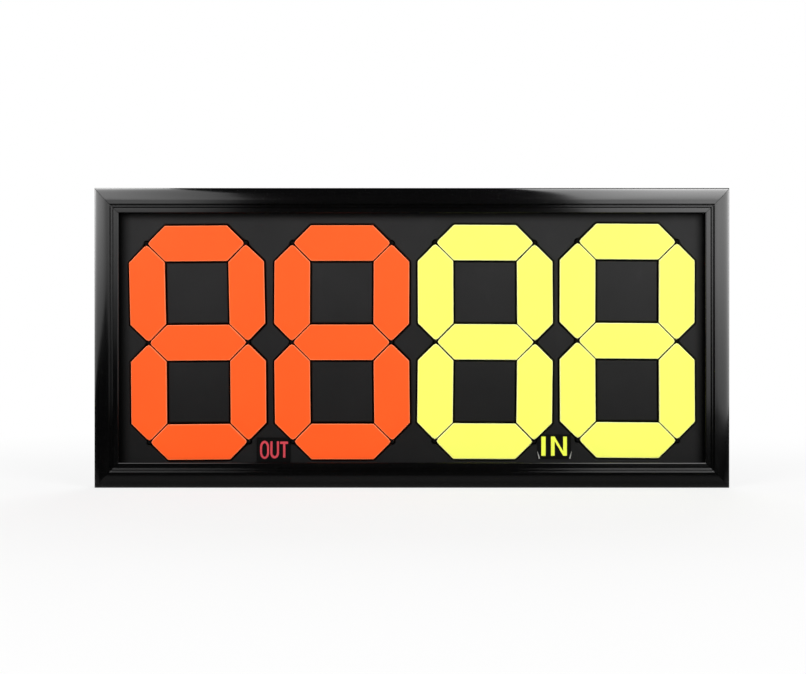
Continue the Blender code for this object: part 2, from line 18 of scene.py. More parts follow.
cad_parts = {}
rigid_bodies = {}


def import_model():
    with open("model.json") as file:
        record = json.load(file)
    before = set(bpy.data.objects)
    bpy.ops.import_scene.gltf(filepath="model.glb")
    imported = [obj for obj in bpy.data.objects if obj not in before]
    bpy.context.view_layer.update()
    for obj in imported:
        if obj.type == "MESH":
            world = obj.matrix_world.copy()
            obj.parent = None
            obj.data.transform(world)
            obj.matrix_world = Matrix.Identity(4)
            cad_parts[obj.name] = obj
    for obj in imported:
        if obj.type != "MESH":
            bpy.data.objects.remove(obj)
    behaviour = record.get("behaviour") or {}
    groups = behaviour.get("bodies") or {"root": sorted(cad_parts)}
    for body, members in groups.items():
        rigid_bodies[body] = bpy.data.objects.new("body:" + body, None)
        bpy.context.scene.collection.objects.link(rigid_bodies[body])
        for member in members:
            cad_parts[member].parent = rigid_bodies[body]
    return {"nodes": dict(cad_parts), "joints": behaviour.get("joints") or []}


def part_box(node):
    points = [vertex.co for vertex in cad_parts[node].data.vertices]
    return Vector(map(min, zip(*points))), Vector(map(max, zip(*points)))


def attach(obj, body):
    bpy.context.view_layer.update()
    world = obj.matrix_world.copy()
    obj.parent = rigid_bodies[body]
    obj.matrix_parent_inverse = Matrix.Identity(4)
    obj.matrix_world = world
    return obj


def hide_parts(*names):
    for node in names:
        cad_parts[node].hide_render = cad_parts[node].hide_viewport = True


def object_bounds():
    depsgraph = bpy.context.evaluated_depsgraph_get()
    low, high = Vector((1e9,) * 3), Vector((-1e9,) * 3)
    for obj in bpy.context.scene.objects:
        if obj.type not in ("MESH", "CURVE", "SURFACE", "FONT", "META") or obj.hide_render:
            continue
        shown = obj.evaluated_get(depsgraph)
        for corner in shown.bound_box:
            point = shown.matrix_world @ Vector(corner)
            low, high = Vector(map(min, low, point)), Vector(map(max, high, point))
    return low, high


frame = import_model()
cad_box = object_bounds()

# %% [markdown]
# Shapes are drawn in millimetres, lying on their back: X runs along the board, Y up it and Z
# out of its face. One matrix then stands them up and turns them to metres, so every number
# below can be compared with a ruler held against the real thing.

# %% From a drawing in millimetres to the standing board
MM = 0.001
LENGTH, DEPTH, HEIGHT = [round(side / MM, 3) for side in
                         (Vector(cad_box[1]) - Vector(cad_box[0]))]
STAND = (Matrix.Translation((0.0, DEPTH / 2 * MM, 0.0))
         @ Matrix.Rotation(math.pi / 2, 4, "X") @ Matrix.Scale(MM, 4))


def laid_at(point, turn=0.0):
    """The matrix that lays a drawing on a point of the board, turned about Z."""
    return Matrix.Translation(point) @ Matrix.Rotation(turn, 4, "Z")


print("board:", LENGTH, "x", HEIGHT, "x", DEPTH, "mm")

# %% [markdown]
# The camera stands straight in front of the face, level with the middle of the digits and a
# little left of it, 1.3 m away. A short distance like that shows the inner walls of the frame
# as thin lines, as a hand-held picture does.

# %% Camera
CAMERA_PLACE = (-0.0089, -1.303, 0.1509)
LENS_MM = 57.9
camera = bpy.data.objects.new("camera", bpy.data.cameras.new("camera"))
camera.data.sensor_width = 36.0
camera.data.sensor_fit = "HORIZONTAL"
camera.data.lens = LENS_MM
camera.location = CAMERA_PLACE
camera.rotation_euler = (math.pi / 2, 0.0, 0.0)
bpy.context.scene.collection.objects.link(camera)
bpy.context.scene.camera = camera
bpy.context.scene.view_settings.view_transform = "Standard"
print("lens:", camera.data.lens, "mm")

# %% [markdown]
# A shader is a net of small nodes. Wiring them one by one hides the idea, so a small class lets
# an output be added or multiplied as if it were a number, and each sum becomes a Math node.
# Colours are never put through a Math node, which would turn them grey: they are mixed.

# %% Writing shader sums as sums
class Signal:
    """One output of a node, used in sums like a number."""

    def __init__(self, wiring, output):
        self.wiring = wiring
        self.output = output

    def maths(self, operation, first, second):
        return self.wiring.node("ShaderNodeMath", {"operation": operation},
                                {0: first, 1: second})["Value"]

    def __add__(self, other):
        return self.maths("ADD", self, other)

    def __radd__(self, other):
        return self.maths("ADD", other, self)

    def __sub__(self, other):
        return self.maths("SUBTRACT", self, other)

    def __rsub__(self, other):
        return self.maths("SUBTRACT", other, self)

    def __mul__(self, other):
        return self.maths("MULTIPLY", self, other)

    def __rmul__(self, other):
        return self.maths("MULTIPLY", other, self)


print("a signal can be added, subtracted and multiplied")

# %% [markdown]
# Every other node comes from one method: it makes the node, applies its settings, then fills or
# links its sockets. Two more methods name what this board's finishes use most, a noise of a
# given size in millimetres and a ramp that turns a part of it into a mask.

# %% Making nodes
class Wiring:
    """The nodes of one material or of the world."""

    def __init__(self, tree):
        self.tree = tree

    def feed(self, socket, value):
        if isinstance(value, Signal):
            self.tree.links.new(value.output, socket)
        elif isinstance(value, tuple) and len(value) == 3 and socket.type == "RGBA":
            socket.default_value = (*value, 1.0)
        else:
            socket.default_value = value

    def node(self, kind, settings=None, sockets=None):
        made = self.tree.nodes.new(kind)
        for name, value in (settings or {}).items():
            if name == "stops":
                for element, (place, level) in zip(made.color_ramp.elements, value):
                    element.position = place
                    element.color = (level, level, level, 1.0)
            else:
                setattr(made, name, value)
        usable = [socket for socket in made.inputs if not socket.is_unavailable]
        by_name = {socket.name: socket for socket in reversed(usable)}
        for name, value in (sockets or {}).items():
            self.feed(usable[name] if isinstance(name, int) else by_name[name], value)
        return {output.name: Signal(self, output) for output in made.outputs
                if not output.is_unavailable}

    def mix(self, factor, first, second):
        return self.node("ShaderNodeMix", {"data_type": "RGBA"},
                         {"Factor": factor, "A": first, "B": second})["Result"]

    def noise(self, size_mm, detail=2.0, stretch=(1.0, 1.0, 1.0)):
        """Noise whose blotches are about that many millimetres across on the board."""
        place = self.node("ShaderNodeTexCoord")["Object"]
        mapped = self.node("ShaderNodeMapping", None, {"Vector": place, "Scale": stretch})
        return self.node("ShaderNodeTexNoise", None,
                         {"Vector": mapped["Vector"], "Scale": 1.0 / (size_mm * MM),
                          "Detail": detail})["Fac"]

    def ramp(self, signal, low, high, low_level=0.0, high_level=1.0):
        stops = ((low, low_level), (high, high_level))
        return self.node("ShaderNodeValToRGB", {"stops": stops}, {"Fac": signal})["Color"]

    def faded(self, strength, fades):
        """A strength that fades along axes: each fade is (axis, dimmest, full, dimmest level)."""
        place = self.node("ShaderNodeTexCoord")["Object"]
        axes = self.node("ShaderNodeSeparateXYZ", None, {"Vector": place})
        for axis, dimmest, full, level in fades:
            strength = strength * self.node(
                "ShaderNodeMapRange", {"interpolation_type": "SMOOTHSTEP"},
                {"Value": axes[axis], "From Min": dimmest, "From Max": full,
                 "To Min": level, "To Max": 1.0})["Result"]
        return strength


class Finish(Wiring):
    """A material built round one Principled shader."""

    def __init__(self, name, **constants):
        self.material = bpy.data.materials.new(name)
        self.material.use_nodes = True
        super().__init__(self.material.node_tree)
        self.shader = self.tree.nodes["Principled BSDF"]
        for socket, value in constants.items():
            self.feed(self.shader.inputs[socket.replace("_", " ")], value)

    def varies(self, socket, value):
        self.feed(self.shader.inputs[socket], value)

    def bumps(self, height, depth_mm, strength=1.0):
        """Raise and lower the surface by a signal from 0 to 1 that stands for that depth."""
        bump = self.node("ShaderNodeBump", None,
                         {"Height": height, "Distance": depth_mm * MM, "Strength": strength})
        self.varies("Normal", bump["Normal"])


print("shader helpers ready")

# %% [markdown]
# The colours are lit by two soft lamps, above and to the left and right of the camera, and by
# a little light from the room; a third lights the back. Together they are as strong as a white
# sheet needs to look white, so a colour renders about as it is written. They don't show in
# gloss, because a lamp's square reflection would sit in the middle of the panel.

# %% Soft lamps
def soft_lamp(name, place, aim, size, strength):
    """A square lamp, size metres wide, whose strength is the light it puts on its aim."""
    lamp = bpy.data.lights.new(name, "AREA")
    lamp.shape = "SQUARE"
    lamp.size = size
    towards = Vector(aim) - Vector(place)
    lamp.energy = strength * math.pi * math.pi * towards.length_squared
    holder = bpy.data.objects.new(name, lamp)
    holder.location = place
    holder.rotation_euler = towards.to_track_quat("-Z", "Y").to_euler()
    holder.visible_camera = False
    holder.visible_glossy = False
    bpy.context.scene.collection.objects.link(holder)


BOARD_MIDDLE = (0.0, 0.0, 0.15)
LAMPS = {"lamp_left": ((-1.2, -1.6, 1.45), 0.9, 0.50),
         "lamp_right": ((1.2, -1.6, 1.45), 0.9, 0.50),
         "lamp_behind": ((0.4, 1.9, 1.2), 1.2, 0.75)}
for name, (place, size, strength) in LAMPS.items():
    soft_lamp(name, place, BOARD_MIDDLE, size, strength)
print("lamps:", len(LAMPS))

# %% [markdown]
# Glossy black plastic shows hardly any colour of its own: what the eye reads as the frame is
# the reflection of the room. Here it is a light tent with a dark gap down its middle, so the
# top rail is bright near its ends and black in between, and the tent stops short of the floor,
# so the bottom rail is black too. Its sheets are brighter beside the board than at their rims,
# and the right half is the brighter one. They light nothing: only gloss sees them.

# %% A tent that only gloss sees
TENT_GLOW = {"left_roof": 5.0, "left_wall": 3.9, "left_front": 1.7,
             "right_roof": 7.2, "right_wall": 4.0, "right_front": 3.6}
TENT_SIDE = 0.95
TENT_TOP = 0.95
TENT_FRONT = -1.3
TENT_SHEETS = {
    "left_roof_front": [(-0.335, TENT_FRONT), (-TENT_SIDE, TENT_FRONT), (-TENT_SIDE, -0.3),
                        (-0.275, -0.3)],
    "left_roof_back": [(-0.275, -0.3), (-TENT_SIDE, -0.3), (-TENT_SIDE, 0.9), (-0.44, 0.9)],
    "right_roof_front": [(0.350, TENT_FRONT), (TENT_SIDE, TENT_FRONT), (TENT_SIDE, 0.0),
                         (0.192, 0.0)],
    "right_roof_back": [(0.192, 0.0), (TENT_SIDE, 0.0), (TENT_SIDE, 0.45), (0.165, 0.45)],
    "left_wall": [(TENT_FRONT, 0.24), (TENT_FRONT, TENT_TOP), (0.75, TENT_TOP), (0.75, 0.03)],
    "right_wall": [(TENT_FRONT, 0.0), (TENT_FRONT, TENT_TOP), (0.6, TENT_TOP), (0.6, 0.04)],
    "left_front": [(-0.34, 0.1), (-0.34, TENT_TOP), (-TENT_SIDE, TENT_TOP), (-TENT_SIDE, 0.2)],
    "right_front": [(0.345, 0.002), (0.345, TENT_TOP), (TENT_SIDE, TENT_TOP),
                    (TENT_SIDE, 0.002)],
}
# For each kind of sheet: axis, where it is dimmest, where it is full, its dimmest level
TENT_FADES = {
    "left_roof": [("X", -0.25, -0.60, 0.30), ("Y", -1.4, -0.2, 0.65)],
    "right_roof": [("X", 0.16, 0.42, 0.50), ("Y", -1.4, -0.2, 0.60)],
    "left_wall": [("Z", 0.08, 0.42, 0.18), ("Y", -1.3, -0.2, 0.45)],
    "right_wall": [("Z", 0.0, 0.42, 0.36)],
    "left_front": [("Z", 0.08, 0.46, 0.05), ("X", -0.33, -0.50, 0.25)],
    "right_front": [("Z", 0.0, 0.42, 0.33), ("X", 0.36, 0.62, 0.65)],
}


def in_space(kind, first, second):
    """A corner of a sheet in space: roofs give X and Y, walls Y and Z, fronts X and Z."""
    side = -1 if kind.startswith("left") else 1
    if "roof" in kind:
        return (first, second, TENT_TOP)
    if "wall" in kind:
        return (side * TENT_SIDE, first, second)
    return (first, TENT_FRONT, second)


def tent_finish(name, glow, fades):
    """Light that fades towards the rims of a sheet."""
    finish = Finish(name)
    strength = finish.faded(glow, fades)
    light = finish.node("ShaderNodeEmission", None, {"Strength": strength})["Emission"]
    finish.feed(finish.tree.nodes["Material Output"].inputs["Surface"], light)
    return finish


def stage_sheet(name, corners, finish, only_in_gloss):
    """A flat sheet of the studio, which isn't part of the board."""
    bm = bmesh.new()
    bm.faces.new([bm.verts.new(corner) for corner in corners])
    mesh = bpy.data.meshes.new(name)
    bm.to_mesh(mesh)
    bm.free()
    mesh.materials.append(finish.material)
    sheet = bpy.data.objects.new(name, mesh)
    if only_in_gloss:
        for ray in ("camera", "diffuse", "shadow", "transmission"):
            setattr(sheet, f"visible_{ray}", False)
    bpy.context.scene.collection.objects.link(sheet)
    return sheet


for name, corners in TENT_SHEETS.items():
    kind = "_".join(name.split("_")[:2])
    sheet_finish = tent_finish(name, TENT_GLOW[kind], TENT_FADES[kind])
    stage_sheet(name, [in_space(name, *corner) for corner in corners], sheet_finish, True)
print("tent sheets:", len(TENT_SHEETS))

# %% [markdown]
# The room itself is dim. The camera, and anything seen through glass, sees it as plain white.
# Gloss sees it faintly, because a black frame in a white room would look grey. The floor does
# the same: only the strip of it just before the board shows in the bottom rail. Near the board
# the camera sees a share of the floor's real shading, so that the board's shadow stays on it.
# Further off that share fades out, as a studio sweep does.

# %% Room and floor
ROOM_GLOW = 0.16
ROOM_IN_GLOSS = 0.015
FLOOR_IN_GLOSS = 0.20
# The fade nearest the board dims the floor's gloss glow there: a painted shadow of the board at
# its foot, seen only in the bottom rail.
FLOOR_GLOSS_FADES = [("Y", -0.056, -0.030, 0.12), ("Y", -0.015, -0.026, 0.70),
                     ("X", -0.55, -0.32, 0.2), ("X", 0.55, 0.32, 0.2)]
FLOOR_SHADE = 0.22
FLOOR_SHADE_REACH = 0.9
world = bpy.data.worlds.new("room")
world.use_nodes = True
bpy.context.scene.world = world
room = Wiring(world.node_tree)
background = world.node_tree.nodes["Background"]
room.feed(background.inputs["Color"], (1.0, 1.0, 1.0))
path = room.node("ShaderNodeLightPath")
seen = path["Is Camera Ray"] + path["Is Transmission Ray"]
room.feed(background.inputs["Strength"],
          seen + ROOM_IN_GLOSS * path["Is Glossy Ray"] + ROOM_GLOW * path["Is Diffuse Ray"])

floor_finish = Finish("floor_white", Base_Color=(0.78, 0.78, 0.78), Roughness=0.9,
                      Specular_IOR_Level=0.0)
where = floor_finish.node("ShaderNodeTexCoord")["Object"]
distance = floor_finish.node("ShaderNodeVectorMath", {"operation": "LENGTH"}, {0: where})["Value"]
shade = floor_finish.ramp(distance * (1.0 / FLOOR_SHADE_REACH), 0.35, 1.0, FLOOR_SHADE, 0.0)
path = floor_finish.node("ShaderNodeLightPath")
seen = path["Is Camera Ray"] + path["Is Transmission Ray"]
in_gloss = path["Is Glossy Ray"]
in_gloss_level = floor_finish.faded(FLOOR_IN_GLOSS * in_gloss, FLOOR_GLOSS_FADES)
white_glow = floor_finish.node("ShaderNodeEmission", None, {
    "Color": (1.0, 1.0, 1.0), "Strength": seen + in_gloss_level})["Emission"]
own_shading = Signal(floor_finish, floor_finish.shader.outputs["BSDF"])
whiteness = seen * (1.0 - shade) + in_gloss
floor_look = floor_finish.node("ShaderNodeMixShader", None,
                               {0: whiteness, 1: own_shading, 2: white_glow})["Shader"]
floor_finish.feed(floor_finish.tree.nodes["Material Output"].inputs["Surface"], floor_look)
FLOOR_HALF = 6.0
floor = stage_sheet("floor", [(-FLOOR_HALF, -FLOOR_HALF, 0), (FLOOR_HALF, -FLOOR_HALF, 0),
                              (FLOOR_HALF, FLOOR_HALF, 0), (-FLOOR_HALF, FLOOR_HALF, 0)],
                    floor_finish, False)
print("floor:", tuple(floor.dimensions))

# %% [markdown]
# The frame is a hollow extrusion of glossy black plastic. Its own colour is nearly nothing, so
# the finish lives in its gloss: faint clouds in the roughness where it has been handled, a
# slow ripple from the extruder, and fine specks of dust that catch the light.

# %% Glossy black moulding
NEARLY_BLACK, DUST_GREY = (0.0018, 0.0018, 0.0019), (0.02, 0.02, 0.019)
moulding_black = Finish("moulding_black", Base_Color=NEARLY_BLACK, IOR=1.5)
handled = moulding_black.noise(38.0, detail=3.0)
streaks = moulding_black.noise(2.2, detail=2.0, stretch=(0.06, 1.0, 1.0))
dust = moulding_black.ramp(moulding_black.noise(0.8, detail=1.0), 0.74, 0.80)
moulding_black.varies("Roughness", 0.07 + 0.06 * handled + 0.03 * streaks + 0.25 * dust)
moulding_black.varies("Base Color", moulding_black.mix(dust, NEARLY_BLACK, DUST_GREY))
moulding_black.bumps(moulding_black.noise(55.0, detail=1.0), 0.12)
print("moulding finish:", len(moulding_black.tree.nodes), "nodes")

# %% [markdown]
# The panel behind the digits, and the island inside each loop, are the same charcoal plastic
# with a fine spark-eroded grain, like the inside of a case. The grain is real bump, less than
# a twentieth of a millimetre deep, and the colour drifts a little over the width of a hand.
# Its colour also carries painted shade: darker towards the bottom, as if lit from above, and
# darkest in the strips next to the frame's top and sides, where the lips would throw their shade.

# %% Grained charcoal
# Axis, where the painted shade is darkest, where it has faded out, and its darkest level
PANEL_PAINTED_SHADE = [("Z", 0.030, 0.270, 0.49), ("Z", 0.2740, 0.2695, 0.30),
                  ("X", -0.2915, -0.2785, 0.06), ("X", 0.2915, 0.2808, 0.08)]


def grained(name, colour, grain_mm, roughness, depth_mm=0.035, shine=0.25, painted_shade=()):
    """A matte moulded plastic with a fine even grain, darkened by painted shade where its fades
    fall.
    """
    finish = Finish(name, Base_Color=colour, IOR=1.46, Specular_IOR_Level=shine)
    drift = finish.noise(60.0, detail=3.0)
    grain = finish.noise(grain_mm, detail=2.0)
    scuff = finish.ramp(finish.noise(14.0, detail=5.0, stretch=(1.0, 1.0, 0.35)), 0.62, 0.78)
    lighter = tuple(1.45 * part + 0.002 for part in colour)
    tone = drift * 0.55 + grain * 0.3 + scuff * 0.15
    shown = finish.mix(tone, tuple(0.7 * part for part in colour), lighter)
    # Painted shade: where its fades fall, the colour is mixed towards black.
    if painted_shade:
        shown = finish.mix(finish.faded(1.0, painted_shade), (0.0, 0.0, 0.0), shown)
    finish.varies("Base Color", shown)
    finish.varies("Roughness", roughness - 0.06 + 0.10 * grain + 0.06 * drift - 0.08 * scuff)
    finish.bumps(grain, depth_mm)
    return finish


panel_charcoal = grained("panel_charcoal", (0.0180, 0.0180, 0.0183), 0.45, 0.45, shine=0.12,
                         painted_shade=PANEL_PAINTED_SHADE)
inner_black = grained("inner_black", (0.010, 0.010, 0.0105), 0.7, 0.6)
# The posts' near-black is painted shade, for the dark gap where the vane tips meet.
post_black_painted_shade = grained("post_black_painted_shade", (0.0020, 0.0020, 0.0021), 0.5, 0.6, shine=0.03)
board_back = grained("board_back", (0.016, 0.016, 0.0165), 1.1, 0.62, depth_mm=0.06)
print("panel finish:", len(panel_charcoal.tree.nodes), "nodes")

# %% [markdown]
# Each vane is a plate of fluorescent plastic. Its rounded rim is given a paler, brighter colour
# than the face, a painted highlight where the edge catches the light. The rim is therefore a
# finish of its own, on the bevelled faces only. The face has the very fine tooth of a printed
# sheet and clouds of a tone so close that they show only near to.

# %% Fluorescent faces, painted-highlight rims and black backs
def fluorescent(name, colour, deeper, roughness, painted_glow):
    # The emission is a painted glow in the face's own colour. It stands for the plastic's
    # fluorescence, but shines with or without a lamp.
    finish = Finish(name, Base_Color=colour, IOR=1.46, Specular_IOR_Level=0.3,
                    Emission_Strength=painted_glow)
    cloud = finish.noise(45.0, detail=3.0)
    tooth = finish.noise(0.5, detail=1.0)
    face = finish.mix(cloud * 0.8 + tooth * 0.2, deeper, colour)
    finish.varies("Base Color", face)
    finish.varies("Emission Color", face)
    finish.varies("Roughness", roughness + 0.12 * tooth)
    finish.bumps(tooth, 0.012)
    return finish


vane_orange = fluorescent("vane_orange", (0.98, 0.102, 0.004), (0.96, 0.090, 0.003), 0.46, 0.10)
# The rim finishes are paler and brighter than the faces: a painted highlight on the rounded edges.
vane_orange_rim_highlight = fluorescent("vane_orange_rim_highlight", (1.0, 0.23, 0.085), (0.97, 0.18, 0.05), 0.3, 0.12)
vane_yellow = fluorescent("vane_yellow", (0.93, 0.97, 0.148), (0.91, 0.95, 0.132), 0.46, 0.08)
vane_yellow_rim_highlight = fluorescent("vane_yellow_rim_highlight", (1.0, 1.0, 0.44), (0.94, 0.98, 0.32), 0.3, 0.10)

FILM_BLACK, FILM_RUBBED = (0.009, 0.009, 0.0095), (0.02, 0.02, 0.02)
vane_black = Finish("vane_black", Base_Color=FILM_BLACK, IOR=1.46, Specular_IOR_Level=0.35)
rubbed = vane_black.ramp(vane_black.noise(9.0, detail=6.0), 0.55, 0.75)
vane_black.varies("Roughness", 0.42 - 0.12 * rubbed + 0.08 * vane_black.noise(0.6))
vane_black.varies("Base Color", vane_black.mix(rubbed, FILM_BLACK, FILM_RUBBED))
vane_black.bumps(vane_black.noise(0.6), 0.015)
print("materials so far:", len(bpy.data.materials))

# %% [markdown]
# The word plates are black vinyl, darker and smoother than the panel, and the words are vinyl
# too, pinkish red and yellow. The screws on the back are zinc plated: bright metal whose
# roughness is broken up by the plating. The corner keys inside the mitres are cut aluminium.

# %% Vinyl and metal
label_black = grained("label_black", (0.0025, 0.0025, 0.0025), 0.6, 0.5, depth_mm=0.015,
                      shine=0.05)
# The curls' pale grey is a painted highlight on the lifted edges.
curl_painted_highlight = grained("curl_painted_highlight", (0.34, 0.34, 0.33), 0.5, 0.5, depth_mm=0.02)
word_red = fluorescent("word_red", (0.64, 0.060, 0.084), (0.58, 0.048, 0.068), 0.4, 0.02)
word_yellow = fluorescent("word_yellow", (0.90, 1.0, 0.09), (0.85, 0.95, 0.06), 0.4, 0.04)


def metal(name, colour, stretch):
    finish = Finish(name, Base_Color=colour, Metallic=1.0)
    marks = finish.noise(0.9, detail=4.0, stretch=stretch)
    finish.varies("Base Color", finish.mix(marks, tuple(0.8 * part for part in colour), colour))
    finish.varies("Roughness", 0.24 + 0.22 * marks)
    finish.bumps(marks, 0.01)
    return finish


screw_zinc = metal("screw_zinc", (0.60, 0.61, 0.63), (1.0, 1.0, 1.0))
key_aluminium = metal("key_aluminium", (0.74, 0.74, 0.76), (0.1, 1.0, 1.0))
print("materials:", len(bpy.data.materials))

# %% [markdown]
# Every new piece is finished in the same way: its faces are turned outwards, it is stood up by
# a matrix, its flat faces stay flat while its round ones are shaded smooth, it is hung on the
# body it rides on, and the imported solids it stands for are hidden.

# %% From a bmesh to a finished piece
SMOOTH_BELOW = math.radians(32)
SHARP_ABOVE = math.radians(40)


def coated(mesh, *finishes):
    for finish in finishes:
        mesh.materials.append(finish.material)
    return mesh


def mesh_of(bm, name, *finishes):
    bmesh.ops.recalc_face_normals(bm, faces=bm.faces)
    mesh = bpy.data.meshes.new(name)
    bm.to_mesh(mesh)
    bm.free()
    return coated(mesh, *finishes)


def place_piece(name, mesh, matrix, body, slot, *nodes):
    """Put a finished mesh in the scene on its body and hide the imported solids it stands for."""
    mesh.transform(matrix)
    mesh.shade_smooth()
    mesh.set_sharp_from_angle(angle=SMOOTH_BELOW)
    piece = bpy.data.objects.new(name, mesh)
    bpy.context.scene.collection.objects.link(piece)
    piece.modifiers.new("flat_faces_stay_flat", "WEIGHTED_NORMAL").keep_sharp = True
    if nodes:
        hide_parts(*nodes)
    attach(piece, body)
    return piece


def turned(profile, steps):
    """Spin a half section of (radius, height) points about Z into a closed solid."""
    bm = bmesh.new()
    points = [bm.verts.new((radius, 0.0, height)) for radius, height in profile]
    edges = [bm.edges.new(pair) for pair in zip(points, points[1:])]
    bmesh.ops.spin(bm, geom=points + edges, axis=(0, 0, 1), cent=(0, 0, 0),
                   angle=2 * math.pi, steps=steps, use_merge=True)
    bmesh.ops.remove_doubles(bm, verts=bm.verts, dist=0.0001)
    return bm


def extruded(bm, faces):
    """Extrude faces without moving them yet, and hand back the points of their far end."""
    grown = bmesh.ops.extrude_face_region(bm, geom=faces)
    return [item for item in grown["geom"] if isinstance(item, bmesh.types.BMVert)]


def raised(bm, height):
    """Extrude every face of a flat drawing straight up into a solid."""
    bmesh.ops.translate(bm, verts=extruded(bm, bm.faces[:]), vec=(0.0, 0.0, height))


def shifted(bm, x=0.0, y=0.0, z=0.0):
    bmesh.ops.translate(bm, verts=bm.verts, vec=(x, y, z))


def tilted(bm, angle, axis):
    """Turn a whole shape about an axis through the origin."""
    bmesh.ops.rotate(bm, verts=bm.verts, cent=(0, 0, 0), matrix=Matrix.Rotation(angle, 3, axis))


def saw(bm, point, away):
    """Keep what lies behind a plane through a point, and hand back the edges of the cut."""
    cut = bmesh.ops.bisect_plane(bm, geom=bm.verts[:] + bm.edges[:] + bm.faces[:], dist=0.0001,
                                 plane_co=point, plane_no=away, clear_outer=True)
    return [item for item in cut["geom_cut"] if isinstance(item, bmesh.types.BMEdge)]


def rounded(bm, corners, size, steps=2, affect="EDGES", clamp=True):
    """Round the edges of a solid or, with VERTICES, the corners of a flat drawing."""
    bmesh.ops.bevel(bm, geom=corners, offset=size, offset_type="OFFSET", segments=steps,
                    profile=0.5, affect=affect, clamp_overlap=clamp, material=-1)


def rectangle(left, bottom, right, top):
    """A flat face with those edges, ready to be raised."""
    bm = bmesh.new()
    bmesh.ops.create_grid(bm, x_segments=1, y_segments=1, size=0.5)
    bmesh.ops.scale(bm, verts=bm.verts, vec=(right - left, top - bottom, 1.0))
    shifted(bm, (left + right) / 2, (bottom + top) / 2)
    return bm


print("smooth below", round(math.degrees(SMOOTH_BELOW)), "degrees, edges broken above",
      round(math.degrees(SHARP_ABOVE)))

# %% [markdown]
# The frame is four lengths of one moulding. Its section starts from the few corners of a real
# one: a flat side wall, an arch whose quarter circle is spun and then stretched to its width,
# two grooves with a bead between them, and a flat lip over the panel. The section is pushed
# along the rail, and the long sharp edges are rounded, because those are what catch the light.

# %% Section of the moulding
BAND = 17.2
WALL = 22.0
FACE = DEPTH
GROOVE_FLOOR = FACE - 1.8
BEAD_FROM, BEAD_TO, BEAD_TOP = 18.8, 20.1, FACE - 0.3
LIP_FROM, LIP_TO, LIP_TOP = 21.1, 26.0, FACE - 0.6
LIP_FALL = 0.1
LIP_BACK = 25.8
REBATE = 10.0
ARCH_STEPS = 20
ROUND_EDGES = {(BAND, FACE): 0.45, (BEAD_FROM, BEAD_TOP): 0.5, (BEAD_TO, BEAD_TOP): 0.5,
               (BAND, GROOVE_FLOOR): 0.75, (BEAD_FROM, GROOVE_FLOOR): 0.75,
               (BEAD_TO, GROOVE_FLOOR): 0.45, (LIP_FROM, GROOVE_FLOOR): 0.45,
               (LIP_FROM, LIP_TOP): 0.35, (LIP_TO, LIP_TOP - LIP_FALL): 0.8,
               (LIP_TO, LIP_BACK): 0.3, (REBATE, 0.0): 0.4, (0.0, 0.0): 0.5}


def moulding_section():
    """The section as one face, X inwards from the outer edge and Z up from the back."""
    bm = bmesh.new()
    arch_start = bm.verts.new((0.0, 0.0, WALL))
    bmesh.ops.spin(bm, geom=[arch_start], axis=(0, 1, 0), cent=(FACE - WALL, 0.0, WALL),
                   angle=math.pi / 2, steps=ARCH_STEPS)
    bmesh.ops.scale(bm, verts=bm.verts, vec=(BAND / (FACE - WALL), 1.0, 1.0))
    arch_end = max(bm.verts, key=lambda vert: vert.co.z)
    corners = [(BAND, GROOVE_FLOOR), (BEAD_FROM, GROOVE_FLOOR), (BEAD_FROM, BEAD_TOP),
               (BEAD_TO, BEAD_TOP), (BEAD_TO, GROOVE_FLOOR), (LIP_FROM, GROOVE_FLOOR),
               (LIP_FROM, LIP_TOP), (LIP_TO, LIP_TOP - LIP_FALL), (LIP_TO, LIP_BACK),
               (REBATE, LIP_BACK), (REBATE, 0.0), (0.0, 0.0)]
    chain = [arch_end] + [bm.verts.new((inset, 0.0, height)) for inset, height in corners]
    chain.append(arch_start)
    for pair in zip(chain, chain[1:]):
        bm.edges.new(pair)
    bmesh.ops.edgenet_fill(bm, edges=bm.edges[:])
    return bm


section = moulding_section()
print("section: verts", len(section.verts), "faces", len(section.faces),
      "top", max(vert.co.z for vert in section.verts))
section.free()

# %% [markdown]
# Each rail is that section pushed along its length and then sawn at both ends by a plane at 45
# degrees, as a frame maker saws it. The sawn ends are filled, and a fine gap is left between
# them, so that the mitre shows as the thin dark line that it is on the real frame.

# %% Four mitred rails
MITRE_SEAM = 0.3


def long_edges(bm, place):
    """The edges that run along the rail at one corner of its section."""
    inset, height = place
    return [edge for edge in bm.edges if all(abs(vert.co.y - inset) < 0.01
                                             and abs(vert.co.z - height) < 0.01
                                             for vert in edge.verts)]


def rail(length):
    """A rail lying along X with its outer edge on Y = 0 and its back on Z = 0."""
    bm = moulding_section()
    tilted(bm, math.pi / 2, "Z")
    shifted(bm, x=-length / 2)
    bmesh.ops.translate(bm, verts=extruded(bm, bm.faces[:]), vec=(length, 0.0, 0.0))
    for place, radius in ROUND_EDGES.items():
        rounded(bm, long_edges(bm, place), radius, steps=4)
    for end in (-1, 1):
        saw_point = (end * (length / 2 - MITRE_SEAM / math.sqrt(2)), 0.0, 0.0)
        bmesh.ops.edgenet_fill(bm, edges=saw(bm, saw_point, (end, 1, 0)))
    return bm


# Length, the point where the middle of the outer edge lies, and the turn
RAILS = {"rail_bottom": (LENGTH, (0, 0, 0), 0.0),
         "rail_top": (LENGTH, (0, HEIGHT, 0), math.pi),
         "rail_left": (HEIGHT, (-LENGTH / 2, HEIGHT / 2, 0), -math.pi / 2),
         "rail_right": (HEIGHT, (LENGTH / 2, HEIGHT / 2, 0), math.pi / 2)}
for name, (length, point, turn) in RAILS.items():
    mesh = mesh_of(rail(length), name, moulding_black)
    piece = place_piece(f"{name}_moulding", mesh, STAND @ laid_at(point, turn), "board",
                        "moulding", name)
    print(piece.name, "faces", len(mesh.polygons))

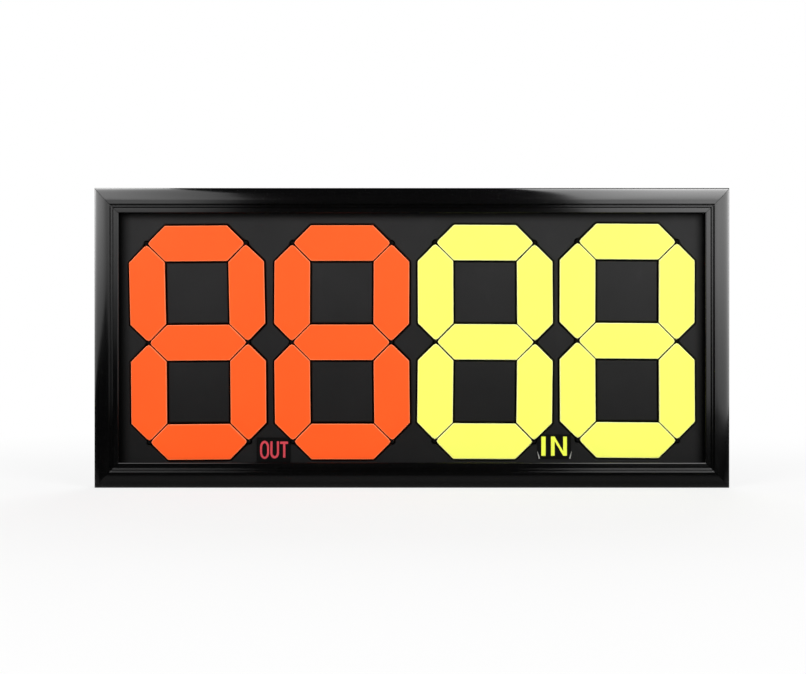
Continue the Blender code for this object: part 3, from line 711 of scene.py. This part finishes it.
# %% [markdown]
# All 28 vanes are the same plate, so one is drawn and then copied to each hinge. It starts as a
# rectangle whose corners are sawn off at 45 degrees, which leaves a hexagon; its two tips are
# rounded, its shoulders just softened, and the rim gets a round edge. Where a plate goes is read
# from its hinge: X along the hinge's axis and Z towards the viewer.

# %% The outline of a vane
PIVOT_PITCH = 99.0
MITRE_GAP = 1.3
VANE_HALF_LENGTH = PIVOT_PITCH / 2 - MITRE_GAP / math.sqrt(2)
VANE_HALF_WIDTH = 17.7
VANE_FRONT = 1.5
VANE_BACK = -1.5
VANE_RIM = 0.75
FILM_THICKNESS = 0.2
FILM_INSET = 0.7
TIP_SET_BACK = 3.6
SHOULDER_SET_BACK = 0.66
PIN_RADIUS = 0.7
PIN_REACH = PIVOT_PITCH / 2 - 1.14
PIN_CHAMFER = 0.15


def vane_drawing(grow=0.0, soften=True):
    """The hexagon of a vane as one flat face, made larger all round by grow."""
    half_length = VANE_HALF_LENGTH + grow * math.sqrt(2)
    half_width = VANE_HALF_WIDTH + grow
    bm = rectangle(-half_length, -half_width, half_length, half_width)
    for along in (-1, 1):
        for across in (-1, 1):
            saw(bm, (along * half_length, 0.0, 0.0), (along, across, 0))
    bmesh.ops.remove_doubles(bm, verts=bm.verts, dist=0.001)
    if soften:
        tips = [vert for vert in bm.verts if abs(vert.co.x) > half_length - 0.01]
        shoulders = [vert for vert in bm.verts if vert not in tips]
        rounded(bm, tips, TIP_SET_BACK, 10, affect="VERTICES")
        rounded(bm, shoulders, SHOULDER_SET_BACK, 4, affect="VERTICES")
    return bm


drawing = vane_drawing()
print("vane outline:", len(drawing.verts), "points,", len(drawing.faces), "face,",
      round(max(vert.co.x for vert in drawing.verts), 3), "mm to a tip")
drawing.free()

# %% [markdown]
# The plate and its two pivot pins are one solid, so the pins are joined on by a union. The back
# of the plate carries a film of satin black, a little smaller than the plate, so that a turned
# vane shows a thin coloured edge round its black face.

# %% One vane and its black film
def shaped(mesh, operation, tools):
    """Cut or join a mesh with other meshes by an exact Boolean and hand back the result."""
    target = bpy.data.objects.new("target", mesh)
    bpy.context.scene.collection.objects.link(target)
    group = bpy.data.collections.new("tools")
    for tool in tools:
        group.objects.link(bpy.data.objects.new("tool", tool))
    modifier = target.modifiers.new("shape", "BOOLEAN")
    modifier.operation = operation
    modifier.solver = "EXACT"
    modifier.operand_type = "COLLECTION"
    modifier.collection = group
    result = bpy.data.meshes.new_from_object(
        target.evaluated_get(bpy.context.evaluated_depsgraph_get()))
    for item in [target, *group.objects]:
        bpy.data.objects.remove(item)
    bpy.data.collections.remove(group)
    return result


def level_edges(bm, height):
    return [edge for edge in bm.edges if all(abs(vert.co.z - height) < 0.001
                                             for vert in edge.verts)]


def vane_plate(face_finish, rim_highlight_finish):
    """A coloured plate with its pins: the flat front is the face, all else is rim."""
    bm = vane_drawing()
    bottom = VANE_BACK + FILM_THICKNESS
    shifted(bm, z=bottom)
    raised(bm, VANE_FRONT - bottom)
    rounded(bm, level_edges(bm, VANE_FRONT), VANE_RIM, steps=4)
    rounded(bm, level_edges(bm, bottom), 0.3, steps=2)
    plate = mesh_of(bm, "vane_plate", face_finish, rim_highlight_finish)
    for polygon in plate.polygons:
        polygon.material_index = 0 if polygon.center.z > VANE_FRONT - 0.001 else 1
    tip, side = PIN_RADIUS - PIN_CHAMFER, PIN_REACH - PIN_CHAMFER
    pin = turned([(0, -PIN_REACH), (tip, -PIN_REACH), (PIN_RADIUS, -side), (PIN_RADIUS, side),
                  (tip, PIN_REACH), (0, PIN_REACH)], 16)
    tilted(pin, math.pi / 2, "Y")
    pin_mesh = mesh_of(pin, "vane_pin", face_finish, rim_highlight_finish)
    for polygon in pin_mesh.polygons:
        polygon.material_index = 1
    return shaped(plate, "UNION", [pin_mesh])


def vane_film():
    bm = vane_drawing(grow=-FILM_INSET)
    shifted(bm, z=VANE_BACK)
    raised(bm, FILM_THICKNESS)
    rounded(bm, level_edges(bm, VANE_BACK), 0.08, steps=1)
    return mesh_of(bm, "vane_film", vane_black)


plates = {"out": vane_plate(vane_orange, vane_orange_rim_highlight),
          "in": vane_plate(vane_yellow, vane_yellow_rim_highlight)}
film = vane_film()
print("vane:", len(plates["out"].polygons), "faces, film:", len(film.polygons), "faces")

# %% [markdown]
# A hinge from model.json gives a point, an axis and the body that it turns. A matrix made from the
# first two puts a copy of the plate and of its film in place, and the third says what they turn
# with.

# %% Every vane on its hinge
HINGES = {joint["child"]: joint for joint in frame["joints"]}


def hinge_matrix(joint):
    """Where a hinge is: X along its axis, Z towards the viewer."""
    along = Vector(joint["axis"]).normalized()
    outwards = Vector((0, -1, 0))
    across = outwards.cross(along)
    turn = Matrix((along, across, outwards)).transposed().to_4x4()
    return Matrix.Translation(joint["pos_m"]) @ turn @ Matrix.Scale(MM, 4)


for body, joint in HINGES.items():
    pair = "out" if "_out_" in body else "in"
    slot = "vane_orange" if pair == "out" else "vane_yellow"
    place_piece(f"{body}_plate", plates[pair].copy(), hinge_matrix(joint), body, slot, body)
    place_piece(f"{body}_film", film.copy(), hinge_matrix(joint), body, slot, body)
print("vanes placed:", len(HINGES))

# %% [markdown]
# Where the vanes of a digit meet stands a pivot, and inside each of its loops an island, a plate
# sawn by four planes that stand off the axes of the vanes round it. Both are read from the
# hinges, so they follow the slight tilt of each digit.

# %% Pivots and islands
VANE_CLEARANCE = 1.5
LOOPS = {"upper": ("top", "upper_right", "middle", "upper_left"),
         "lower": ("middle", "lower_right", "bottom", "lower_left")}
LEVEL_VANES = ("top", "middle", "bottom")
UPRIGHT_VANES = ("upper_left", "upper_right", "lower_left", "lower_right")
DIGITS = ("out_tens", "out_units", "in_tens", "in_units")


def lying(point):
    """A point of the standing board, in metres, as it was drawn lying down, in millimetres."""
    return STAND.inverted() @ Vector(point)


def hinge_of(digit, vane):
    """Middle and direction of a hinge on the lying board."""
    joint = HINGES[f"vane_{digit}_{vane}"]
    middle = lying(joint["pos_m"])
    along = (STAND.inverted().to_3x3() @ Vector(joint["axis"])).normalized()
    return middle, along


def pivots(digit):
    """The six points where the vanes of a digit meet."""
    points = []
    for vane in LEVEL_VANES:
        middle, along = hinge_of(digit, vane)
        points += [middle - along * PIVOT_PITCH / 2, middle + along * PIVOT_PITCH / 2]
    return points


def outline_of(node):
    """Left, bottom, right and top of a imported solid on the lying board."""
    low, high = (lying(corner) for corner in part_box(node))
    return min(low.x, high.x), min(low.y, high.y), max(low.x, high.x), max(low.y, high.y)


def middle_of(node):
    left, bottom, right, top = outline_of(node)
    return Vector(((left + right) / 2, (bottom + top) / 2, 0))


def island_drawing(digit, loop, grow=0.0):
    """The four-sided plate inside a loop, clear of the vanes round it."""
    middles = [hinge_of(digit, vane)[0] for vane in LOOPS[loop]]
    centre = sum(middles, Vector()) / len(middles)
    bm = rectangle(centre.x - 60, centre.y - 60, centre.x + 60, centre.y + 60)
    for vane in LOOPS[loop]:
        middle, along = hinge_of(digit, vane)
        outwards = Vector((along.y, -along.x, 0))
        if outwards.dot(middle - centre) < 0:
            outwards.negate()
        edge = middle - outwards * (VANE_HALF_WIDTH + VANE_CLEARANCE - grow)
        saw(bm, (edge.x, edge.y, 0), outwards)
    return bm


def block(bm, low, high):
    """Raise a drawing between two heights and hand it back as a mesh."""
    shifted(bm, z=low)
    raised(bm, high - low)
    return mesh_of(bm, "block")


def round_block(point, profile, steps=32):
    bm = turned(profile, steps)
    shifted(bm, point.x, point.y)
    return mesh_of(bm, "round_block")


print("pivots of the first digit:", [tuple(round(c, 1) for c in p) for p in pivots(DIGITS[0])])

# %% [markdown]
# The panel is one sheet with an opening for every vane, a little larger than the vane so that
# it can turn, and an opening for each island. Its cutters are the vane outline again, grown by
# the clearance, a round one at each pivot and the islands' shapes. A vane's cutter widens at its
# mouth in a quarter circle, so that the panel's face rolls over into the opening.

# %% Panel with its openings
PANEL_LOW, PANEL_TOP = 22.5, 25.5
AXIS_HEIGHT = 26.5
PIVOT_OPENING = 3.25
ROLLED_EDGE = 1.4
ROLLED_PIVOT = 0.4
COLLAR_MARGIN = 0.4


def flat_hinge_matrix(digit, vane):
    """The place of a vane's drawing on the lying board."""
    middle, along = hinge_of(digit, vane)
    return laid_at((middle.x, middle.y, 0), math.atan2(along.y, along.x))


def plug(point, radius, low, high, rolled=0.0):
    """A round cutter that stands on one point; its mouth at the panel's face may be wider."""
    mouth = [(radius + rolled * (1 - math.cos(math.radians(turn))),
              PANEL_TOP - rolled * (1 - math.sin(math.radians(turn))))
             for turn in range(0, 91, 30)] if rolled else []
    return round_block(point, [(0, low), (radius, low), *mouth, (radius + rolled, high),
                               (0, high)])


def wide_mouthed(low, high, rolled):
    """A vane's cutter: a collar above the panel's face and a shaft that flows out of it."""
    collar = rolled + COLLAR_MARGIN
    bm = vane_drawing(VANE_CLEARANCE + collar, soften=False)
    shifted(bm, z=high)
    raised(bm, PANEL_TOP - high)
    base = [face for face in bm.faces if face.calc_center_median().z < PANEL_TOP + 0.001]
    bmesh.ops.inset_region(bm, faces=base, thickness=collar, use_even_offset=True)
    tip = extruded(bm, base)
    bmesh.ops.delete(bm, geom=base, context="FACES")
    bmesh.ops.translate(bm, verts=tip, vec=(0, 0, low - PANEL_TOP))
    inner = [edge for edge in level_edges(bm, PANEL_TOP)
             if any(face.calc_center_median().z < PANEL_TOP - 0.001 for face in edge.link_faces)]
    rounded(bm, inner, rolled, 3)
    return mesh_of(bm, "wide_mouthed")


def opening_cutters(digits, low, high, rolled=0.0):
    """Cutters for all that must stay clear round digits: their vanes, pivots and islands."""
    cutters = []
    for digit in digits:
        for vane in LEVEL_VANES + UPRIGHT_VANES:
            cutter = (wide_mouthed(low, high, rolled) if rolled
                      else block(vane_drawing(VANE_CLEARANCE, soften=False), low, high))
            cutter.transform(flat_hinge_matrix(digit, vane))
            cutters.append(cutter)
        cutters += [plug(point, PIVOT_OPENING, low, high, min(rolled, ROLLED_PIVOT))
                    for point in pivots(digit)]
        cutters += [block(island_drawing(digit, loop, grow=VANE_CLEARANCE), low, high)
                    for loop in LOOPS]
    return cutters


def softened(mesh, width, *finishes):
    """Merge flat faces, break every sharp edge by that width and give the finishes."""
    bm = bmesh.new()
    bm.from_mesh(mesh)
    bmesh.ops.remove_doubles(bm, verts=bm.verts, dist=0.02)
    bmesh.ops.dissolve_limit(bm, angle_limit=math.radians(0.5), verts=bm.verts, edges=bm.edges)
    sharp = [edge for edge in bm.edges
             if edge.is_manifold and edge.calc_face_angle(0.0) > SHARP_ABOVE]
    rounded(bm, sharp, width, clamp=False)
    bmesh.ops.triangulate(bm, faces=[face for face in bm.faces if len(face.verts) > 4])
    bm.to_mesh(mesh)
    bm.free()
    return coated(mesh, *finishes)


panel = block(rectangle(*outline_of("fascia_panel")), PANEL_LOW, PANEL_TOP)
openings = opening_cutters(DIGITS, PANEL_LOW - 2, PANEL_TOP + 2, ROLLED_EDGE)
panel = softened(shaped(panel, "DIFFERENCE", openings), 0.18, panel_charcoal)
place_piece("fascia_sheet", panel, STAND, "board", "fascia", "fascia_panel")
print("panel:", len(panel.polygons), "faces")

# %% [markdown]
# Behind the panel each digit has a carrier: a thin base with a bearing post at each pivot and a
# hollow island inside each loop. Only the charcoal tops of the islands and the black tips of the
# posts can be seen, but a vane that is half turned lets the eye into the well, so the whole
# carrier is made. The posts' near-black is painted shade, for the dark gap where the vane tips
# meet.

# %% One carrier for each digit
BASE_LOW, BASE_TOP = 5.8, 7.4
POST_RADIUS, NECK_RADIUS, POST_TOP = 6.0, 2.04, 28.0
NECK_FROM = AXIS_HEIGHT - 3.24
ISLAND_WALL, ISLAND_TOP = 2.0, 3.0
PEG_RADIUS, PEG_LOW = 2.5, 2.7
SOLID_OVERLAP = 0.5


def post_profile():
    flare_from = NECK_FROM - (POST_RADIUS - NECK_RADIUS)
    return [(0, BASE_LOW), (POST_RADIUS, BASE_LOW), (POST_RADIUS, flare_from),
            (NECK_RADIUS, NECK_FROM), (NECK_RADIUS, POST_TOP - 0.4),
            (NECK_RADIUS - 0.4, POST_TOP), (0, POST_TOP)]


def peg_points(digit):
    """Two pegs locate a carrier, a pivot pitch above and below its middle."""
    middle = middle_of(f"carrier_{digit}")
    return [middle + Vector((0, side * PIVOT_PITCH, 0)) for side in (-1, 1)]


def carrier(digit):
    base = block(rectangle(*outline_of(f"carrier_{digit}")), BASE_LOW, BASE_TOP)
    solids = [round_block(point, post_profile()) for point in pivots(digit)]
    hollows = []
    for loop in LOOPS:
        island = island_drawing(digit, loop)
        shifted(island, z=BASE_LOW + SOLID_OVERLAP)
        raised(island, PANEL_TOP - BASE_LOW - SOLID_OVERLAP)
        rounded(island, level_edges(island, PANEL_TOP), ROLLED_EDGE, 3)
        solids.append(mesh_of(island, "island"))
        hollows.append(block(island_drawing(digit, loop, grow=-ISLAND_WALL), BASE_LOW - 1,
                             PANEL_TOP - ISLAND_TOP))
    for peg in peg_points(digit):
        solids.append(round_block(peg, [(0, PEG_LOW), (PEG_RADIUS - 0.4, PEG_LOW),
                                        (PEG_RADIUS, PEG_LOW + 0.4),
                                        (PEG_RADIUS, BASE_LOW + SOLID_OVERLAP),
                                        (0, BASE_LOW + SOLID_OVERLAP)], 24))
    return shaped(shaped(base, "UNION", solids), "DIFFERENCE", hollows)


def blacken_posts(mesh, digit):
    """Give the faces of the bearing posts the second finish of a carrier, its painted-shade black.
    """
    points = pivots(digit)
    for face in mesh.polygons:
        if face.center.z > BASE_TOP + 0.1:
            reach = min((face.center - point).xy.length for point in points)
            face.material_index = 1 if reach < POST_RADIUS else 0


for digit in DIGITS:
    mesh = softened(carrier(digit), 0.18, panel_charcoal, post_black_painted_shade)
    blacken_posts(mesh, digit)
    place_piece(f"digit_carrier_{digit}", mesh, STAND, "board", "carrier", f"carrier_{digit}")
    print(digit, "carrier:", len(mesh.polygons), "faces")

# %% [markdown]
# Two black plates lie on the panel under the gaps between the digits, each with a short word
# that says what its pair of digits means. They are trimmed where the vanes turn past them.

# %% Word plates
PLATE_LOW, PLATE_TOP = 25.8, 26.6
WORD_PLATES = {"label_out": ("out_tens", "out_units"), "label_in": ("in_tens", "in_units")}


for node, neighbours in WORD_PLATES.items():
    plate = block(rectangle(*outline_of(node)), PLATE_LOW, PLATE_TOP)
    cutters = opening_cutters(neighbours, PLATE_LOW - 2, PLATE_TOP + 2)
    plate = softened(shaped(plate, "DIFFERENCE", cutters), 0.12, label_black)
    place_piece(f"{node}_plate", plate, STAND, "board", "label", node)
    print(node, [round(value, 1) for value in outline_of(node)])

# %% [markdown]
# The letters are cut from vinyl a sixth of a millimetre thick. Each is a plain solid shape, a
# bar or an oval, with its inside or its corners taken out.

# %% Letters
LETTER_TOP = PLATE_TOP + 0.16
LETTER_SINK = 0.1


def oval(left, bottom, right, top, end_height):
    """An upright bar whose two ends are half ellipses of that height."""
    half_width = (right - left) / 2
    squeeze = half_width / end_height
    half_height = (top - bottom) / 2 * squeeze
    bm = rectangle(-half_width, -half_height, half_width, half_height)
    rounded(bm, bm.verts[:], half_width * 0.99, 8, affect="VERTICES")
    bmesh.ops.scale(bm, verts=bm.verts, vec=(1, 1 / squeeze, 1))
    shifted(bm, (left + right) / 2, (bottom + top) / 2)
    return bm


def sawn(bm, point, away):
    """Keep the part of a drawing that lies behind a line through a point."""
    saw(bm, (*point, 0), (*away, 0))
    return bm


def letter(body, holes):
    """A thin solid letter: a drawn body with drawn holes taken out of it."""
    low, high = PLATE_TOP - LETTER_SINK, LETTER_TOP
    cutters = [block(hole, low - 1, high + 1) for hole in holes]
    return shaped(block(body, low, high), "DIFFERENCE", cutters)


def letter_o(left, bottom, right, top):
    side, foot, head = 2.0, 2.1, 2.4
    return letter(oval(left, bottom, right, top, 6.6),
                  [oval(left + side, bottom + foot, right - side, top - head, 5.0)])


def letter_u(left, bottom, right, top):
    side, foot, beyond = 2.1, 2.4, top + 12
    body = sawn(oval(left, bottom, right, beyond, 5.6), (0, top), (0, 1))
    return letter(body, [oval(left + side, bottom + foot, right - side, beyond, 3.6)])


def letter_t(left, bottom, right, top):
    stem_left, stem_right, bar = left + 3.0, left + 5.2, top - 2.4
    return letter(rectangle(left, bottom, right, top),
                  [rectangle(left - 1, bottom - 1, stem_left, bar),
                   rectangle(stem_right, bottom - 1, right + 1, bar)])


def letter_i(left, bottom, right, top):
    return letter(rectangle(left, bottom, right, top), [])


def letter_n(left, bottom, right, top):
    stem, slope = 3.7, (0.865, 0.50)
    above = sawn(rectangle(left + stem, bottom - 1, right - stem, top + 1), (left + stem, top),
                 (-slope[0], -slope[1]))
    below = sawn(rectangle(left + stem, bottom - 1, right - stem, top + 1),
                 (right - stem, bottom), slope)
    return letter(rectangle(left, bottom, right, top), [above, below])


# Left, bottom, right and top of each letter from the middle of its plate
WORDS = {
    "label_out": (word_red, [(letter_o, (-13.3, -9.3, -4.3, 8.8)),
                             (letter_u, (-3.0, -8.9, 5.6, 8.2)),
                             (letter_t, (6.7, -8.2, 14.6, 8.0))]),
    "label_in": (word_yellow, [(letter_i, (-13.0, -9.2, -8.7, 10.0)),
                               (letter_n, (-3.4, -9.2, 12.5, 10.0))]),
}
for node, (finish, letters) in WORDS.items():
    middle = Matrix.Translation(middle_of(node))
    for index, (draw, box) in enumerate(letters):
        place_piece(f"{node}_letter_{index + 1}", coated(draw(*box), finish), STAND @ middle,
                    "board", "label", node)
    print(node, "letters:", len(letters))

# %% [markdown]
# The lower corners of the right-hand plate have begun to curl. A curl is a slim cone, pressed
# nearly flat and leaned from the upper to the lower end of the lifted edge; its pale grey is a
# painted highlight along that edge.

# %% Curled corners
CURL_THICK_END, CURL_THIN_END, CURL_FLATTENED = 0.72, 0.12, 0.35
CURLS = {"left": ((-17.0, -4.8), (-14.9, -12.0)), "right": ((17.1, -4.8), (15.3, -12.0))}
for side, (upper, lower) in CURLS.items():
    bm = bmesh.new()
    bmesh.ops.create_cone(bm, cap_ends=True, segments=16, radius1=CURL_THICK_END,
                          radius2=CURL_THIN_END, depth=math.dist(upper, lower))
    tilted(bm, -math.pi / 2, "X")
    bmesh.ops.scale(bm, verts=bm.verts, vec=(1, 1, CURL_FLATTENED))
    lean = math.atan2(lower[0] - upper[0], upper[1] - lower[1])
    aside = Vector(((upper[0] + lower[0]) / 2, (upper[1] + lower[1]) / 2, PLATE_TOP + 0.2))
    place = laid_at(middle_of("label_in") + aside, lean)
    curl = mesh_of(bm, f"curl_{side}", curl_painted_highlight)
    place_piece(f"label_in_curl_{side}", curl, STAND @ place, "board", "label", "label_in")
print("curls:", len(CURLS))

# %% [markdown]
# The photograph doesn't show the back. It is closed by a thin grained panel that eight small
# pan-head screws hold to the spacers inside the frame. It has holes for the screws and for the
# pegs of the carriers.

# %% Back panel
BACK_LOW, BACK_TOP = 2.5, 5.5
SCREW_HOLE, PEG_HOLE = 1.8, 2.8
SCREWS = [node for node in frame["nodes"] if node.startswith("back_screw")]


back = block(rectangle(*outline_of("back_panel")), BACK_LOW, BACK_TOP)
holes = [plug(middle_of(screw), SCREW_HOLE, BACK_LOW - 1, BACK_TOP + 1) for screw in SCREWS]
holes += [plug(point, PEG_HOLE, BACK_LOW - 1, BACK_TOP + 1)
          for digit in DIGITS for point in peg_points(digit)]
back = softened(shaped(back, "DIFFERENCE", holes), 0.2, board_back)
place_piece("back_panel_sheet", back, STAND, "board", "back_panel", "back_panel")
print("back panel:", len(back.polygons), "faces")

# %% [markdown]
# A screw is spun from half its section, and a cross recess is cut into its domed head. Each copy
# stands turned to its own angle, because nobody lines screws up by hand.

# %% Pan-head screws
HEAD_RADIUS, HEAD_TOP, HEAD_UNDER = 3.0, 0.4, 2.2
SHANK_RADIUS, SHANK_TIP = 1.5, 12.2
RECESS_REACH, RECESS_WIDTH, RECESS_DEPTH = 1.7, 0.55, 1.1
ANGLE_STEP = math.radians(47)


def screw_mesh():
    bm = turned([(0, HEAD_TOP), (1.3, HEAD_TOP + 0.05), (2.1, HEAD_TOP + 0.25),
                 (2.7, HEAD_TOP + 0.65), (HEAD_RADIUS, HEAD_TOP + 1.15), (HEAD_RADIUS, HEAD_UNDER),
                 (SHANK_RADIUS, HEAD_UNDER), (SHANK_RADIUS, SHANK_TIP - 1.6), (0, SHANK_TIP)], 32)
    arms = [block(rectangle(-RECESS_REACH, -RECESS_WIDTH / 2, RECESS_REACH, RECESS_WIDTH / 2),
                  HEAD_TOP - 1, HEAD_TOP + RECESS_DEPTH) for _ in range(2)]
    arms[1].transform(Matrix.Rotation(math.pi / 2, 4, "Z"))
    return softened(shaped(mesh_of(bm, "screw"), "DIFFERENCE", arms), 0.06, screw_zinc)


screw = screw_mesh()
for index, node in enumerate(SCREWS):
    place = laid_at(middle_of(node), index * ANGLE_STEP)
    place_piece(f"{node}_pan_head", screw.copy(), STAND @ place, "board", "back_screw", node)
print("screws:", len(SCREWS), "of", len(screw.polygons), "faces")

# %% [markdown]
# The spacers, the dividers and the corner keys are plain bars in the real board too, and nearly
# out of sight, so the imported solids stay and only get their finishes.

# %% Finishes of the plain bars
KEPT_FINISHES = {"spacer": inner_black, "divider": inner_black, "corner_key": key_aluminium}
kept = [name for name in frame["nodes"] if name.startswith(tuple(KEPT_FINISHES))]
for name in kept:
    finish = next(KEPT_FINISHES[kind] for kind in KEPT_FINISHES if name.startswith(kind))
    for slot in frame["nodes"][name].material_slots:
        slot.material = finish.material
print("kept:", kept)

# %% [markdown]
# The last cell only prints a line to say that the scene is built.

# %% End
print("scene built")
